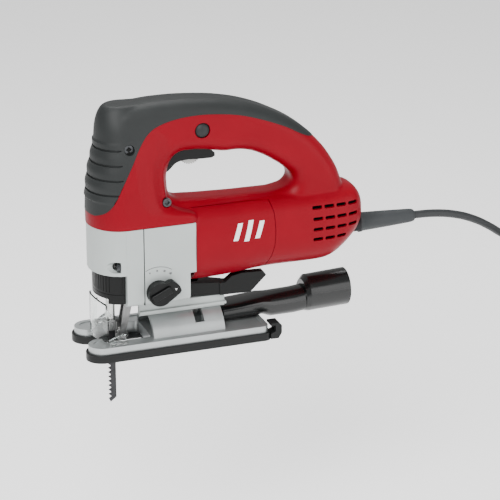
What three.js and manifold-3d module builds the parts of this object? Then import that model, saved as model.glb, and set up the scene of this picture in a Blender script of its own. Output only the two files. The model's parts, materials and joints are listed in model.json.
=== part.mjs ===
// Corded orbital jigsaw with a closed D handle, as an assembly of separate pieces.
// Millimetres. Tool front -X, cord end +X, tool's left side -Y, up +Z.
// Origin: centre of the sole's bottom face.
import * as THREE from 'three';
import { mergeVertices } from 'three/addons/utils/BufferGeometryUtils.js';
import Module from 'manifold-3d';

const wasm = await Module();
wasm.setup();
const { Manifold, Mesh } = wasm;

// ---- driving dimensions -------------------------------------------------
const GAP = 0.3;             // between neighbouring pieces
const WALL = 2.6;            // plastic and cast walls
const CASE_TOP = 117.1;      // plane between gear case and handle shells
const CASE_BOTTOM = 46;
const CASE_HALF = 31;        // gear case half width
const CASE_REAR = 13.5;
const CASE_STEP = 8;         // lower rear face of the gear case
const CASE_STEP_Z = 72;
const CASE_SPLIT = -33.5;    // joint between gear case and its front cover
const NOSE_FRONT = -74.6;
const NOSE_BOTTOM = 76;
const LEG_FRONT = -49;
const HANDLE_HALF = 19.5;
const MOTOR_Z = 98.3;        // armature axis
const CRANK_Z = 78;          // drive gear axis
const STROKE = 26;
const ROD_X = -56;
const TILT_Z = 5;            // shoe tilt axis height
const ARCH_R = 27;
const ARCH_IN = 23;
const ARCH_X = [-24, 41.5];
const SHOE_X = 82;
const SHOE_HALF = 36.5;
const COVER_TOP = 7.3;
const PLATE_TOP = 12.3;
const RIM_TOP = 13.3;
const SLOT_HALF = 8.5;
const GEAR_MODULE = 0.7;
const GEAR_TEETH = 50;
const PINION_TEETH = 8;
const CLAMP_X = 19.5;        // bevel clamp screw
const GLAND_Z = 87;
const CORD_R = 3.6;

// ---- small modelling helpers --------------------------------------------
const V = (x, y) => new THREE.Vector2(x, y);
const AXES = {
  x: [new THREE.Vector3(0, 1, 0), new THREE.Vector3(0, 0, 1), new THREE.Vector3(1, 0, 0)],
  y: [new THREE.Vector3(1, 0, 0), new THREE.Vector3(0, 0, 1), new THREE.Vector3(0, -1, 0)],
  z: [new THREE.Vector3(1, 0, 0), new THREE.Vector3(0, 1, 0), new THREE.Vector3(0, 0, 1)],
};

function solid(geometry) {
  const g = geometry.clone();
  g.deleteAttribute('normal');
  if (g.attributes.uv) g.deleteAttribute('uv');
  const m = mergeVertices(g, 1e-4);
  const tri = Uint32Array.from(m.index.array);
  const make = (t) => new Manifold(new Mesh({
    numProp: 3, vertProperties: Float32Array.from(m.attributes.position.array), triVerts: t,
  }));
  let s = make(tri);
  if (s.volume() < 0) {
    for (let i = 0; i < tri.length; i += 3) [tri[i + 1], tri[i + 2]] = [tri[i + 2], tri[i + 1]];
    s = make(tri);
  }
  return s;
}

const join = (...parts) => parts.flat().reduce((a, b) => a.add(b));
const cut = (base, ...tools) => tools.flat().reduce((a, b) => a.subtract(b), base);
const common = (a, b) => a.intersect(b);

// Extrudes a closed outline along an axis from a to b; along y the outline is (x, z).
function prism(axis, points, a, b, holes = []) {
  const shape = new THREE.Shape(points);
  for (const h of holes) shape.holes.push(new THREE.Path(h));
  const g = new THREE.ExtrudeGeometry(shape, { depth: b - a, bevelEnabled: false });
  const m = new THREE.Matrix4().makeBasis(...AXES[axis]);
  g.applyMatrix4(m);
  const d = AXES[axis][2].clone().multiplyScalar(axis === 'y' ? -b : a);
  return solid(g.translate(d.x, d.y, d.z));
}

const circle = (r, n = 28, cx = 0, cy = 0, from = 0) =>
  Array.from({ length: n }, (_, i) => {
    const t = from + (2 * Math.PI * i) / n;
    return V(cx + r * Math.cos(t), cy + r * Math.sin(t));
  });
const rect = (x0, y0, x1, y1) => [V(x0, y0), V(x1, y0), V(x1, y1), V(x0, y1)];
const box = (x0, x1, y0, y1, z0, z1) => prism('z', rect(x0, y0, x1, y1), z0, z1);
const sector = (r, a0, a1, n, cx = 0, cy = 0) =>
  Array.from({ length: n + 1 }, (_, i) => {
    const t = THREE.MathUtils.degToRad(a0 + ((a1 - a0) * i) / n);
    return V(cx + r * Math.cos(t), cy + r * Math.sin(t));
  });
function rounded(x0, y0, x1, y1, r, n = 4) {
  return [
    ...sector(r, 180, 270, n, x0 + r, y0 + r), ...sector(r, 270, 360, n, x1 - r, y0 + r),
    ...sector(r, 0, 90, n, x1 - r, y1 - r), ...sector(r, 90, 180, n, x0 + r, y1 - r),
  ];
}
function smooth(list, n) {
  const c = new THREE.CatmullRomCurve3(list.map(([x, y]) => new THREE.Vector3(x, y, 0)), true, 'centripetal');
  return c.getSpacedPoints(n).slice(0, n).map((p) => V(p.x, p.y));
}
// Round bar or ring about a line parallel to an axis.
function bar(axis, u, v, r, a, b, n = 28) { return prism(axis, circle(r, n, u, v), a, b); }
function ring(axis, u, v, r, rIn, a, b, n = 28) {
  return prism(axis, circle(r, n, u, v), a, b, [circle(rIn, n, u, v).reverse()]);
}
function loft(rings) {
  const n = rings[0].length;
  const pos = rings.flat().flatMap((p) => [p.x, p.y, p.z]);
  const index = [];
  for (let k = 0; k < rings.length - 1; k += 1) {
    for (let i = 0; i < n; i += 1) {
      const a = k * n + i;
      const b = k * n + ((i + 1) % n);
      index.push(a, b, b + n, a, b + n, a + n);
    }
  }
  for (let i = 1; i < n - 1; i += 1) {
    index.push(0, i + 1, i);
    const e = (rings.length - 1) * n;
    index.push(e, e + i, e + i + 1);
  }
  const g = new THREE.BufferGeometry();
  g.setAttribute('position', new THREE.Float32BufferAttribute(pos, 3));
  g.setIndex(index);
  return solid(g);
}
const P3 = (x, y, z) => new THREE.Vector3(x, y, z);

// Drops the slivers that a cut leaves where two surfaces nearly meet.
const whole = (shape) => join(shape.simplify(0.1).decompose().filter((s) => s.volume() > 1));

const model = new THREE.Group();
function add(name, shape, colour, metalness = 0, roughness = 0.6, extra = {}) {
  const out = shape.getMesh();
  const g = new THREE.BufferGeometry();
  g.setAttribute('position', new THREE.Float32BufferAttribute(out.vertProperties, 3));
  g.setIndex(new THREE.Uint32BufferAttribute(out.triVerts, 1));
  g.computeVertexNormals();
  const material = new THREE.MeshStandardMaterial({ color: colour, metalness, roughness, ...extra });
  const mesh = new THREE.Mesh(g, material);
  mesh.name = name;
  model.add(mesh);
}

// ---- outer envelope of the plastic housings ------------------------------
// Front body: plan sections stacked in z, rounded at the front, tapering to the handle.
const NOSE_SECTIONS = [
  // z, front x, half width, taper start x, rear x, rear half width
  [CASE_TOP - 2, NOSE_FRONT, 31, -20, 16, 31],
  [124, -74.4, 31, -20, 15, 30],
  [128, -74.2, 30.8, -24, 8, 27],
  [132, -74, 30.6, -30, -5, 24],
  [150, -73, 30, -36, -9, 21.5],
  [168, -70.4, 29, -38, -8, 20],
  [180, -67.4, 27.3, -40, 0, 19],
  [192, -65.2, 24, -40, 5, 18],
  [204, -63.6, 20, -42, 0, 16],
  [213, -60, 15.5, -42, -8, 12],
  [218.6, -55, 11.5, -42, -14, 8],
  [220.4, -51, 9, -42, -18, 6],
];
function noseRing([z, f, w, s, r, w2], t) {
  const front = f + t;
  const half = w - t;
  const depth = Math.min(27, (s - front) * 0.9);
  const side = [];
  for (let i = 0; i <= 6; i += 1) {
    const a = (Math.PI / 2) * (i / 6);
    side.push([front + depth * (1 - Math.cos(a)), half * Math.sin(a)]);
  }
  const c = Math.min(6, (w2 - t) * 0.5);
  side.push([s, half], [(s + r - t) / 2, half + (w2 - t - half) * 0.42], [r - t - c, w2 - t], [r - t, w2 - t - c]);
  const zz = z > 200 ? z - t : z;
  const right = side.map(([x, y]) => P3(x, y, zz));
  const left = side.slice(1).reverse().map(([x, y]) => P3(x, -y, zz));
  return [...right, ...left];
}
const frontBody = (t) => loft(NOSE_SECTIONS.map((s) => noseRing(s, t)));

// Motor barrel and rear cover: one loft along x of squared-off ovals.
const BODY_SECTIONS = [
  // x, centre z, half width, depth below, height above
  [12, 91, 32.2, 33.5, 38.3],
  [45, 91, 32.6, 33.2, 38.3],
  [82, 91, 32.2, 29.8, 38.2],
  [122, 91, 31.6, 30, 38],
  [138, 92, 31, 30.4, 37],
  [147, 94.5, 30, 29.5, 34.5],
  [156, 99, 28.4, 26.6, 29.8],
  [163, 102.5, 26.4, 23.6, 25.6],
  [169, 104.5, 23.4, 19.6, 22],
  [174, 105, 18.6, 14.6, 16.6],
  [176.4, 105, 13.5, 10, 11.5],
];
function bodyRing([x, cz, hw, down, up], t, last) {
  const pts = [];
  const n = t < 2 ? 28 : 20;
  for (let i = 0; i < n; i += 1) {
    const a = (2 * Math.PI * i) / n;
    const c = Math.cos(a);
    const s = Math.sin(a);
    const e = s > 0 ? 2.9 : 2.15;
    const h = (s > 0 ? up : down) - t;
    const y = (hw - t) * Math.sign(c) * Math.abs(c) ** (2 / e);
    pts.push(P3(last ? x - t : x, y, cz + h * Math.sign(s) * Math.abs(s) ** (2 / e)));
  }
  return pts;
}
const motorBody = (t) =>
  loft(BODY_SECTIONS.map((s, i) => bodyRing(s, t, i === BODY_SECTIONS.length - 1)));

// The D: grip, front root, rear post; its lower member runs inside the motor body.
const D_OUTLINE = [
  [-52, 112], [-60, 140], [-62, 175], [-60, 203], [-50, 217], [-30, 221.3], [-8, 222.6], [22, 221.4],
  [49, 217.7], [71, 211.8], [95, 201.4], [116, 188.6], [134, 172], [146, 156], [154, 140], [157.5, 124],
  [152, 106], [134, 97], [100, 95], [50, 95], [0, 96], [-34, 99],
];
const HAND_HOLE = [
  [-8.4, 150], [-7.8, 160], [-3, 170.5], [5, 176.8], [16, 178.6], [30, 177.6], [40, 172.6], [47, 169.8], [56, 169.8],
  [67, 168.4], [79, 163.6], [91, 156.6], [100.5, 149], [105.6, 141], [103, 133.6], [94, 131], [70, 130.6],
  [40, 130.7], [14, 131.2], [1, 132.4], [-5.6, 138],
];
function dFrame(t) {
  const fine = t < 2;
  const shape = new THREE.Shape(smooth(D_OUTLINE, fine ? 36 : 22));
  shape.holes.push(new THREE.Path(smooth(HAND_HOLE, fine ? 28 : 18).reverse()));
  const soft = 13;
  const g = new THREE.ExtrudeGeometry(shape, {
    depth: 2 * (HANDLE_HALF - soft), bevelEnabled: true, bevelThickness: soft - t,
    bevelSize: soft - t * 0.2, bevelOffset: -soft - t * 0.8, bevelSegments: fine ? 3 : 2, steps: 1,
  });
  g.applyMatrix4(new THREE.Matrix4().makeBasis(...AXES.y));
  return solid(g.translate(0, HANDLE_HALF - soft, 0));
}
const envelope = (t) => join(frontBody(t), motorBody(t), dFrame(t)).simplify(t < 2 ? 0.14 : 0.3);

const FULL = 60;             // half width used by through cutters
const outer = envelope(0);
const hollow = envelope(WALL);
const wall = cut(outer, hollow);

// Side outline shared by the rear seam.
const REAR_SEAM = [[70, 133], [79, 130.5], [84, 126], [86, 117], [86.5, 100], [85.6, 88], [83.6, 78], [80.5, 68], [76, 54]];
const seam = (dx) => REAR_SEAM.map(([x, z]) => V(x + dx, z));
const shellZone = prism('y', [
  V(-90, CASE_TOP + GAP), V(CASE_REAR + GAP, CASE_TOP + GAP), V(CASE_REAR + GAP, 126.6), V(68, 126.6),
  ...seam(GAP / 2).filter((p) => p.y < 127), V(190, 54), V(190, 240), V(-90, 240),
], -FULL, FULL);
const motorZone = prism('y', [
  V(CASE_REAR + GAP, 50), V(CASE_REAR + GAP, 126.3), V(67.8, 126.3),
  ...seam(-GAP / 2).filter((p) => p.y < 126.4), V(76, 50),
], -FULL, FULL);

// Black overmould field, seen from the side.
const GRIP_FIELD = [
  [-95, 129], [-72, 128.6], [-64, 133.5], [-57, 142.5], [-49.5, 158], [-42, 172.5], [-34, 187], [-25, 198],
  [-12, 204.8], [4, 208.4], [24, 209.4], [45, 207.6], [61, 204.6], [80, 198.2], [100, 189], [114, 181],
  [126, 172.6], [137, 165], [150, 172], [120, 206], [60, 240], [-40, 245], [-95, 225],
].map(([x, z]) => V(x, z));
const gripZone = prism('y', GRIP_FIELD, -FULL, FULL);
// The same field grown by d, so that the soft panel keeps its gap all round.
const grown = (pts, d) => pts.map((p, i) => {
  const before = pts[(i + pts.length - 1) % pts.length];
  const after = pts[(i + 1) % pts.length];
  const along = after.clone().sub(before).normalize();
  return V(p.x + along.y * d, p.y - along.x * d);
});
const gripZoneWide = prism('y', grown(GRIP_FIELD, 0.35), -FULL, FULL);
const softGrip = common(wall, gripZone);
const shellWall = cut(wall, gripZoneWide);

const HOUSING_SCREWS = [[-43, 187], [-13, 138.3]];
const LOCK = [24, 195.4];
const recess = [];
const SCREW_SEAT = -20.2;
for (const [x, z] of HOUSING_SCREWS) {
  recess.push(bar('y', x, z, 4.4, -FULL, SCREW_SEAT - 0.02, 20), bar('y', x, z, 2.3, -30, 14, 12));
}
// The upper boss stands behind the soft panel, on a rib from the wall below it.
const screwBoss = HOUSING_SCREWS.map(([x, z], i) => bar('y', x, z, 7, i ? -FULL : -20, i ? FULL : 20, 16));
screwBoss.push(box(-44.2, -41.8, -20, 20, 142, 184), box(-44.2, -41.8, -FULL, FULL, 142, 160));
const ventCuts = [];
for (const [row, z] of [116, 106.4, 97, 87.8].entries()) {
  const reach = [3, 3, 3, 2][row];
  for (let k = 0; k <= reach; k += 1) {
    const x = 122 + k * 11.5;
    ventCuts.push(box(x, x + 9.6, -FULL, FULL, z - 1.7, z + 1.7));
  }
}
const glandHole = bar('x', 0, GLAND_Z, 8.6, 150, 190, 24);
const triggerSlot = box(-7, 41.4, -9.6, 9.6, 160, 185);
const lockHole = bar('y', LOCK[0], LOCK[1], 6.9, -FULL, FULL, 24);
const rodHole = bar('z', ROD_X, 0, 7, 110, 122, 20);

let shells = common(shellWall, shellZone);
shells = join(shells, common(join(screwBoss), envelope(1.2)));
shells = cut(shells, recess, ventCuts, glandHole, triggerSlot, lockHole, rodHole);
const leftHalf = box(-200, 300, -FULL, -GAP / 2, 0, 300);
const rightHalf = box(-200, 300, GAP / 2, FULL, 0, 300);
add('handle_shell_left', whole(common(shells, leftHalf)), 0xb01f2e, 0, 0.42);
add('handle_shell_right', whole(common(shells, rightHalf)), 0xb01f2e, 0, 0.42);
const gripCut = cut(softGrip, recess, lockHole);
add('soft_grip_left', whole(common(gripCut, leftHalf)), 0x3a3e3e, 0, 0.85);
add('soft_grip_right', whole(common(gripCut, rightHalf)), 0x3a3e3e, 0, 0.85);
add('motor_housing', whole(common(wall, motorZone)), 0xb01f2e, 0, 0.42);

// ---- gear case and front cover -------------------------------------------
const caseSection = (t) => [
  V(-CASE_HALF + t, CASE_TOP - GAP / 2), V(-CASE_HALF + t, CASE_BOTTOM + 5),
  V(-CASE_HALF + 1.6 + t, CASE_BOTTOM + 1.6 + t * 0.6), V(-CASE_HALF + 5 + t, CASE_BOTTOM + t),
  V(CASE_HALF - 5 - t, CASE_BOTTOM + t), V(CASE_HALF - 1.6 - t, CASE_BOTTOM + 1.6 + t * 0.6),
  V(CASE_HALF - t, CASE_BOTTOM + 5), V(CASE_HALF - t, CASE_TOP - GAP / 2),
];
const caseBlock = cut(
  prism('x', caseSection(0), CASE_SPLIT + GAP / 2, CASE_REAR),
  box(CASE_STEP, 30, -FULL, FULL, 30, CASE_STEP_Z),
);
const caseHollow = join(
  box(CASE_SPLIT - 1, CASE_REAR - WALL, -CASE_HALF + WALL, CASE_HALF - WALL, CASE_STEP_Z + WALL, CASE_TOP - WALL - 1),
  box(CASE_SPLIT - 1, CASE_STEP - WALL, -CASE_HALF + WALL, CASE_HALF - WALL, CASE_BOTTOM + WALL, CASE_STEP_Z + 5),
);
const bulkhead = join(
  box(-17, -12, -CASE_HALF + WALL - 0.5, CASE_HALF - WALL + 0.5, CASE_BOTTOM + 1, CASE_TOP - 1),
  bar('x', 0, CRANK_Z, 12, -25, -17), bar('x', 0, MOTOR_Z, 13.6, -12, -3),
);
let gearCase = join(cut(caseBlock, caseHollow), common(bulkhead, caseBlock));
gearCase = cut(gearCase,
  bar('x', 0, CRANK_Z, 9.05, -26, -17.5), bar('x', 0, CRANK_Z, 6, -20, -11),
  bar('x', 0, MOTOR_Z, 11.05, -11.5, -2), bar('x', 0, MOTOR_Z, 5.5, -20, -10), bar('x', 0, MOTOR_Z, 14.5, 8, 16),
  bar('y', -21.5, 58.3, 6.2, -40, -20, 24), box(-31, -25, -10, 10, 40, 50));
add('gear_case', gearCase, 0xb9bebc, 0.55, 0.45);

const nosePlan = (t, rear) => {
  const pts = noseRing([0, NOSE_FRONT, CASE_HALF, -20, 16, 31], t).filter((p) => p.x < -46).map((p) => V(p.x, p.y));
  const side = CASE_HALF - t;
  return [...pts.filter((p) => p.y >= 0), V(rear, side), V(rear, -side), ...pts.filter((p) => p.y < 0)];
};
const coverBlock = join(
  prism('z', nosePlan(0, CASE_SPLIT - GAP / 2), NOSE_BOTTOM, CASE_TOP - GAP / 2),
  prism('x', caseSection(0), LEG_FRONT, CASE_SPLIT - GAP / 2),
);
const coverHollow = join(
  prism('z', nosePlan(WALL, CASE_SPLIT + 1), NOSE_BOTTOM + WALL, CASE_TOP - WALL - 1),
  box(LEG_FRONT + WALL, CASE_SPLIT + 1, -CASE_HALF + WALL, CASE_HALF - WALL, CASE_BOTTOM + WALL, 90),
);
let cover = cut(coverBlock, coverHollow);
cover = join(cover, common(box(-73.5, -47.4, -30, 30, 100, 105), coverBlock));
cover = cut(cover,
  bar('z', ROD_X, 0, 7.06, 95, 120), box(-68, LEG_FRONT + WALL + 1, -16, 16, 60, NOSE_BOTTOM + 6),
  box(-52, -46, -21.5, 21.5, 56, 92), box(-47.4, -34.5, -7.5, 7.5, 40, 50));
const COVER_SCREW_Z = 84;
for (const side of [-1, 1]) {
  cover = join(cover, common(bar('x', side * 27, COVER_SCREW_Z, 6, -54, CASE_SPLIT - 1, 20), coverBlock));
  cover = cut(cover, bar('x', side * 28.4, COVER_SCREW_Z, 5, -90, -54, 20),
    bar('x', side * 27.6, COVER_SCREW_Z, 2.2, -56, -30, 12));
}
add('gear_case_cover', cover, 0xc2c7c5, 0.5, 0.42);

function screw(headR, shankR, length) {
  // Pan head on +axis side with a cross recess; built along x from the seat at x = 0.
  const body = join(bar('x', 0, 0, headR, -3, 0, 20), bar('x', 0, 0, shankR, -0.5, length, 12));
  return cut(body, box(-4, -1.7, -headR * 0.6, headR * 0.6, -0.5, 0.5), box(-4, -1.7, -0.5, 0.5, -headR * 0.6, headR * 0.6));
}
for (const [i, [x, z]] of HOUSING_SCREWS.entries()) {
  const s = screw(3.9, 2, 32).rotate([0, 0, 90]).translate([x, SCREW_SEAT - GAP, z]);
  add(`housing_screw_${i + 1}`, s, 0x2b2d2e, 0.6, 0.4);
}
for (const [name, side] of [['left', -1], ['right', 1]]) {
  add(`cover_screw_${name}`, screw(3.6, 1.9, 17).translate([-54.3, side * 27.6, COVER_SCREW_Z]), 0x2b2d2e, 0.6, 0.4);
}

// ---- handle controls -------------------------------------------------------
const triggerShape = smooth([
  [-6.2, 157.8], [-4.6, 165], [-1.5, 171.6], [6, 175.8], [18, 177], [31, 175.4], [38.4, 171], [38, 167.6],
  [28, 166.8], [12, 167.4], [3, 165.4], [-2.4, 160.4],
], 36);
const DIAL = [17.5, 171.6];
let trigger = join(prism('y', triggerShape, -9.2, 9.2), box(2, 34, -8.8, 8.8, 171, 184));
trigger = cut(trigger, prism('y', circle(9, 24, ...DIAL), -4.6, 4.6), box(6, 30, -6.4, 6.4, 178, 190));
add('trigger', trigger, 0x26292a, 0, 0.5);
const ribs = Array.from({ length: 48 }, (_, i) => {
  const r = i % 2 ? 8.1 : 8.6;
  return V(DIAL[0] + r * Math.cos((i * Math.PI) / 24), DIAL[1] + r * Math.sin((i * Math.PI) / 24));
});
add('speed_dial', prism('y', ribs, -4.2, 4.2, [circle(1.6, 12, ...DIAL).reverse()]), 0xd8dad8, 0, 0.5);
const lock = join(
  prism('y', circle(6.4, 28, ...LOCK), -20.6, -13), prism('y', circle(3, 20, ...LOCK), -14, -6),
  prism('y', circle(7.8, 28, ...LOCK), -14.6, -13),
);
add('lock_button', cut(lock, prism('y', circle(4.6, 24, ...LOCK), -30, -20)), 0x1f2222, 0, 0.5);
add('switch_module', cut(box(3, 36, -11.5, 11.5, 190, 207), box(15.5, 32.5, -20, -2.4, 186.5, 204.5)), 0x303437, 0, 0.6);

// ---- nose: release lever, skirt, plunger ----------------------------------
const leverPlan = (t, rear) => {
  const w = 26 - t;
  const f = -70.6 + t;
  const d = 21;
  const arc = Array.from({ length: 9 }, (_, i) => {
    const a = (Math.PI / 2) * (i / 8);
    return [f + d * (1 - Math.cos(a)) * 0.96, w * Math.sin(a)];
  });
  return [...arc.map(([x, y]) => V(x, y)), V(rear, w), V(rear, -w), ...arc.slice(1).reverse().map(([x, y]) => V(x, -y))];
};
const LEVER_PIVOT = [-53.6, 23.2];
let lever = cut(prism('z', leverPlan(0, -49.4), 57.6, 75.6), prism('z', leverPlan(WALL, -40), 50, 80));
lever = cut(lever, box(-51.2, -40, 0, 40, 50, 80));
lever = join(lever, common(bar('z', ...LEVER_PIVOT, 3.4, 57.6, 75.6, 20), box(-60, -51, 10, 26, 50, 80)));
lever = cut(lever, bar('z', ...LEVER_PIVOT, 1.6, 50, 80, 16));
for (let i = 0; i < 3; i += 1) {
  lever = cut(lever, box(-60 + i * 3.4, -58.6 + i * 3.4, -30, -25.4, 60, 73));
}
add('blade_release_lever', lever, 0x232627, 0, 0.55);
let skirt = join(
  cut(prism('z', leverPlan(0, -49.4), 48.6, 57.2), prism('z', leverPlan(WALL, -40), 40, 60)),
  common(box(-69, -49.4, -25, 25, 53, 57.2), prism('z', leverPlan(0.5, -49.4), 48, 60)),
);
skirt = cut(skirt, box(-90, -40, -20, 20, 40, 53), bar('z', ROD_X, 0, 7.06, 50, 60));
add('nose_skirt', skirt, 0x1e2021, 0, 0.6);
add('lower_bushing', ring('z', ROD_X, 0, 7, 4.08, 53, 60.4), 0x9a7b45, 0.7, 0.4);
add('upper_bushing', ring('z', ROD_X, 0, 7, 4.08, 98, 107), 0x9a7b45, 0.7, 0.4);
add('plunger_rod', bar('z', ROD_X, 0, 4, 25, 108), 0xa9adb0, 0.9, 0.25);
const YOKE_Z = CRANK_Z - STROKE / 2;
let yoke = box(-48, -45, -20.5, 20.5, YOKE_Z - 6.4, YOKE_Z + 6.4);
yoke = cut(yoke, prism('x', rounded(-17.6, YOKE_Z - 3.6, 17.6, YOKE_Z + 3.6, 3.5, 5), -50, -40));
yoke = join(yoke, box(-60.4, -46, -6.2, 6.2, YOKE_Z - 4, YOKE_Z - 0.4), box(-48.6, -48, -6.2, 6.2, YOKE_Z - 6, YOKE_Z + 6));
yoke = cut(yoke, bar('z', ROD_X, 0, 4.02, 40, 90, 28));
add('yoke', yoke, 0x8f9396, 0.85, 0.4);

// Blade clamp: knurled collar with a slot for the blade's tang.
const knurl = Array.from({ length: 40 }, (_, i) => {
  const r = i % 2 ? 6.6 : 7;
  return V(ROD_X + r * Math.cos((i * Math.PI) / 20), r * Math.sin((i * Math.PI) / 20));
});
let clamp = join(prism('z', knurl, 18, 25), bar('z', ROD_X, 0, 6.2, 17, 26.6));
clamp = cut(clamp, bar('z', ROD_X, 0, 4.03, 24.7, 30), box(-60.2, -51.6, -1, 1, 0, 24.2));
add('blade_clamp', clamp, 0x4a4e50, 0.8, 0.4);
const BACK = -52.2;
const TIP = -59.2;
const PITCH = 4.2;
const blade = [V(BACK, 23.8), V(BACK, -49.2), V(-57.6, -53.4), V(TIP, -50)];
for (let i = 0; i < 8; i += 1) {
  const z = -50 + i * PITCH;
  blade.push(V(TIP, z), V(TIP + 2.5, z + 1.1), V(TIP + 2.1, z + 2.4));
}
blade.push(V(TIP, -50 + 8 * PITCH), V(TIP + 0.4, -8), V(TIP + 0.4, 23.8));
add('blade', prism('y', blade.slice(0, 3).concat(blade.slice(4)), -0.75, 0.75), 0x1b1c1d, 0.6, 0.4);

// ---- drive ------------------------------------------------------------------
function toothed(teeth, module, cy, cz, phase) {
  const r = (teeth * module) / 2;
  const pts = [];
  for (let i = 0; i < teeth; i += 1) {
    const step = (2 * Math.PI) / teeth;
    const a = phase + i * step;
    const w = step * 0.22;
    const tip = step * 0.1;
    const root = r - module * 1.15;
    const head = r + module * 0.82;
    for (const [rr, d] of [[root, -w * 1.35], [head, -tip], [head, tip], [root, w * 1.35]]) {
      pts.push(V(cy + rr * Math.cos(a + d), cz + rr * Math.sin(a + d)));
    }
  }
  return pts;
}
// At rest a gear gap faces a pinion tooth on the line of centres.
const gear = join(
  prism('x', toothed(GEAR_TEETH, GEAR_MODULE, 0, CRANK_Z, Math.PI / 2 + Math.PI / GEAR_TEETH), -40, -33),
  bar('x', 0, CRANK_Z, 7, -33.5, -25.6), bar('x', 0, CRANK_Z, 4, -30, -13),
  bar('x', 0, YOKE_Z, 3.2, -44.5, -39.5, 20),
);
add('drive_gear', gear, 0x777b7e, 0.9, 0.35);
add('gear_bearing', ring('x', 0, CRANK_Z, 9, 4.08, -24.6, -17.6), 0xb8bcc0, 0.9, 0.25);
const shaft = join(
  prism('x', toothed(PINION_TEETH, GEAR_MODULE, 0, MOTOR_Z, -Math.PI / 2), -41, -32),
  bar('x', 0, MOTOR_Z, 3.9, -30, 128, 20), bar('x', 0, MOTOR_Z, 1.9, -33, -28, 16),
);
add('armature_shaft', shaft, 0x9a9ea1, 0.9, 0.3);
add('front_bearing', ring('x', 0, MOTOR_Z, 11, 3.95, -11.2, -4), 0xb8bcc0, 0.9, 0.25);
add('rear_bearing', ring('x', 0, MOTOR_Z, 9.5, 3.95, 114, 121), 0xb8bcc0, 0.9, 0.25);
const corePts = [];
for (let i = 0; i < 12; i += 1) {
  const a = (i * Math.PI) / 6;
  for (const [r, d] of [[16.4, -0.2], [16.4, 0], [16.4, 0.2], [14.9, 0.2], [12, 0.1], [12, 0.42], [14.9, 0.3236]]) {
    corePts.push(V(r * Math.cos(a + d), MOTOR_Z + r * Math.sin(a + d)));
  }
}
add('armature_core', prism('x', corePts, 42, 78, [circle(3.94, 20, 0, MOTOR_Z).reverse()]), 0x6b5a3a, 0.6, 0.5);
add('commutator', ring('x', 0, MOTOR_Z, 10.5, 3.94, 90, 106, 24), 0xa8683a, 0.9, 0.35);
const fanDisc = ring('x', 0, MOTOR_Z, 25, 3.94, 18, 20, 28);
const blades = [];
for (let i = 0; i < 9; i += 1) {
  blades.push(box(19.6, 28, -0.8, 0.8, 9, 24).rotate([(i * 360) / 9, 0, 0]).translate([0, 0, MOTOR_Z]));
}
add('cooling_fan', join(fanDisc, ring('x', 0, MOTOR_Z, 9.4, 3.94, 19.6, 28, 20), blades), 0x2a2c2e, 0, 0.6);
const stator = cut(
  prism('x', circle(26, 32, 0, MOTOR_Z), 40, 80),
  prism('x', circle(17.2, 32, 0, MOTOR_Z), 30, 90),
  box(30, 90, -30, -24.2, 80, 117), box(30, 90, 24.2, 30, 80, 117),
);
add('field_stator', stator, 0x5f6365, 0.7, 0.5);
for (const [name, side] of [['left', -1], ['right', 1]]) {
  const holder = cut(box(92.5, 103.5, 14, 26, 94, 102.6), box(94.2, 101.8, 10, 22.6, 95.6, 101));
  const brush = box(94.5, 101.5, 10.9, 22, 95.9, 100.7);
  const turn = (s) => (side < 0 ? s.mirror([0, 1, 0]) : s);
  add(`brush_holder_${name}`, turn(holder), 0xb5893c, 0.8, 0.4);
  add(`brush_${name}`, turn(brush), 0x2c2c2e, 0.2, 0.6);
}

// ---- orbit mechanism ----------------------------------------------------------
const FORK_PIVOT = [-38.4, 55];
const ROLLER_R = 5.5;
const ROLLER = [BACK + 0.35 + ROLLER_R, 11];
const armLine = [V(FORK_PIVOT[0] - 3.2, FORK_PIVOT[1] + 2), V(FORK_PIVOT[0] - 4, FORK_PIVOT[1] - 4), V(ROLLER[0] - 2.6, ROLLER[1] + 4),
  V(ROLLER[0] - 2.8, ROLLER[1] - 2.6), V(ROLLER[0] + 2.6, ROLLER[1] - 2.8), V(ROLLER[0] + 3.2, ROLLER[1] + 4),
  V(FORK_PIVOT[0] + 3.4, FORK_PIVOT[1] - 6), V(FORK_PIVOT[0] + 3.4, FORK_PIVOT[1] + 2)];
let fork = join(prism('y', armLine, -5.1, -3.4), prism('y', armLine, 3.4, 5.1),
  prism('y', [armLine[0], armLine[1], V(-42.6, 47), V(-36.2, 47), armLine[6], armLine[7]], -5.1, 5.1));
fork = cut(fork, bar('y', ...ROLLER, 1.55, -10, 10, 14), bar('y', ...FORK_PIVOT, 1.6, -10, 10, 14));
add('orbit_fork', fork, 0x6f7376, 0.85, 0.4);
const groove = ROLLER_R - 0.6;
const rollerProfile = [V(1.58, -3.2), V(ROLLER_R, -3.2), V(ROLLER_R, -1.1), V(groove, -1.1), V(groove, 1.1),
  V(ROLLER_R, 1.1), V(ROLLER_R, 3.2), V(1.58, 3.2), V(1.58, -3.2)];
const rollerGeo = new THREE.LatheGeometry(rollerProfile, 28);
add('guide_roller', solid(rollerGeo).translate([ROLLER[0], 0, ROLLER[1]]), 0xa4a8ab, 0.9, 0.3);
add('roller_pin', bar('y', ...ROLLER, 1.5, -5, 5, 14), 0x9a9ea1, 0.9, 0.3);
const KNOB = [-21.5, 58.3];
const knobOutline = [
  ...sector(10.6, 62, 300, 18, ...KNOB), V(-4.2, 57.9), V(-2.8, 60.2), V(-4.2, 64.4), V(-9.6, 69.4), V(-13, 69.4),
];
let knob = join(prism('y', circle(10.8, 28, ...KNOB), -33.4, -CASE_HALF - GAP), prism('y', knobOutline, -39.6, -33),
  prism('y', circle(6, 20, ...KNOB), -32, -26));
knob = cut(knob, prism('y', [V(-9, 62.8), V(-5.6, 62.8), V(-7.4, 59.6)], -50, -39));
add('orbit_knob', knob, 0x232627, 0, 0.5);

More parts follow.
